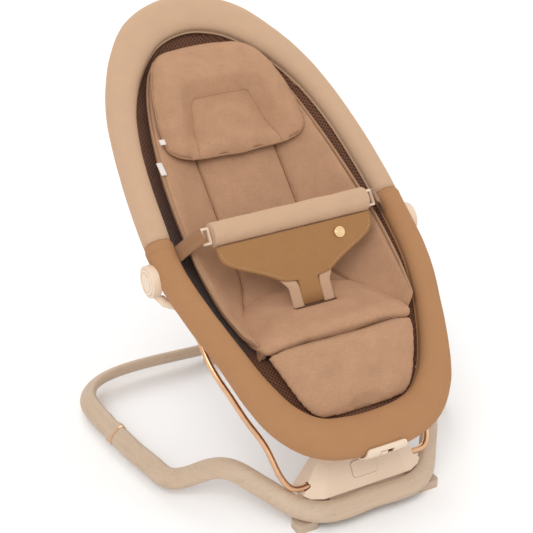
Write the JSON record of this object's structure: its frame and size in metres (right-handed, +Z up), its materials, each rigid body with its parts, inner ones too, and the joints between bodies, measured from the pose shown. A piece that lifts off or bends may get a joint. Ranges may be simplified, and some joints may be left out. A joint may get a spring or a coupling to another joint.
{
  "type": "bouncer seat",
  "caption": "Baby bouncer: padded oval hoop seat with head pillow and crotch harness, hung at side hubs on a sprung wire frame that folds over a wood-look ring base.",
  "frame": {"origin": "on the floor, under the middle of the whole object's footprint", "axes": "+Z up, +Y from the foot end towards the head end, +X towards the sitter's left side"},
  "size_m": [0.5544, 0.6677, 0.5898],
  "materials": {
    "wood_strip": "light oak look, satin lacquer",
    "cream_plastic": "fine satin moulding",
    "rose_gold": "rose gold plated steel wire",
    "foot_rubber": "soft matte rubber",
    "steel": "zinc plated",
    "cover_light": "fine smooth woven cover, light",
    "cover_caramel": "fine smooth woven cover, caramel",
    "inlay_fabric": "soft brushed jersey, mottled",
    "mesh_fabric": "open honeycomb spacer mesh",
    "webbing": "narrow woven webbing",
    "band_fabric": "light woven binding",
    "brass": "brushed brass",
    "label_cloth": "blank satin label",
    "bearing_plastic": "self-lubricating nylon"
  },
  "bodies": {
    "base": {"front_bow": "wood_strip", "rear_bow": "wood_strip", "joint_ring_left": "rose_gold", "joint_ring_right": "rose_gold", "joint_spigot_left": "steel", "joint_spigot_right": "steel", "base_screws": "steel", "foot_front_left": "foot_rubber", "foot_front_right": "foot_rubber", "foot_rear": "foot_rubber", "housing_shell": "cream_plastic", "housing_base": "cream_plastic", "pivot_bearing_left": "bearing_plastic", "pivot_bearing_right": "bearing_plastic"},
    "fold_spindle": {"fold_spindle": "steel"},
    "wire_frame": {"spring_wire": "rose_gold", "hub_housing_left": "cream_plastic", "hub_housing_right": "cream_plastic", "hub_neck_left": "cream_plastic", "hub_neck_right": "cream_plastic", "button_spring_left": "steel", "button_spring_right": "steel"},
    "seat": {"hoop_tube_upper": "steel", "hoop_tube_lower": "steel", "hub_bracket_left": "steel", "hub_bracket_right": "steel", "hub_pin_left": "steel", "hub_pin_right": "steel", "hoop_cover_upper": "cover_light", "hoop_cover_lower": "cover_caramel", "seat_mesh": "mesh_fabric", "inlay_back": "inlay_fabric", "inlay_seat": "inlay_fabric", "inlay_leg": "inlay_fabric", "side_pad_left": "inlay_fabric", "side_pad_right": "inlay_fabric", "head_pillow": "inlay_fabric", "anchor_bar": "steel", "strap_left": "webbing", "strap_right": "webbing", "foot_badge": "cream_plastic", "label_pillow": "label_cloth", "label_inlay": "label_cloth"},
    "harness": {"crotch_panel": "cover_caramel", "crotch_band_left": "band_fabric", "crotch_band_right": "band_fabric", "belt_roll": "cover_light", "clip_left": "cream_plastic", "clip_right": "cream_plastic", "snap_button": "brass"},
    "hub_button_left": {"hub_button_left": "cream_plastic"},
    "hub_button_right": {"hub_button_right": "cream_plastic"},
    "fold_button": {"fold_button": "cream_plastic"},
    "lock_slider": {"lock_slider": "cream_plastic"}
  },
  "joints": [
    {"name": "frame_fold", "type": "hinge", "parent": "base", "child": "fold_spindle", "pos_m": [0, -0.2675, 0.054], "axis": [-1, 0, 0], "range_deg": [0, 22]},
    {"name": "bounce", "type": "hinge", "parent": "fold_spindle", "child": "wire_frame", "pos_m": [0, -0.2675, 0.054], "axis": [-1, 0, 0], "range_deg": [-3, 3], "stiffness_Nm_per_rad": 220, "springref_deg": 1.72},
    {"name": "seat_recline", "type": "hinge", "parent": "wire_frame", "child": "seat", "pos_m": [0, -0.03994, 0.30536], "axis": [-1, 0, 0], "range_deg": [0, 15]},
    {"name": "harness_open", "type": "hinge", "parent": "seat", "child": "harness", "pos_m": [0, -0.13259, 0.25636], "axis": [1, 0, 0], "range_deg": [0, 70]},
    {"name": "hub_button_left_press", "type": "slide", "parent": "wire_frame", "child": "hub_button_left", "axis": [1, 0, 0], "range_m": [0, 0.0014], "stiffness_N_per_m": 600},
    {"name": "hub_button_right_press", "type": "slide", "parent": "wire_frame", "child": "hub_button_right", "axis": [-1, 0, 0], "range_m": [0, 0.0014], "stiffness_N_per_m": 600},
    {"name": "fold_button_press", "type": "slide", "parent": "base", "child": "fold_button", "axis": [0, 0.8712, -0.491], "range_m": [0, 0.0018], "stiffness_N_per_m": 600},
    {"name": "lock_slide", "type": "slide", "parent": "seat", "child": "lock_slider", "axis": [1, 0, 0], "range_m": [0, 0.0105]}
  ]
}
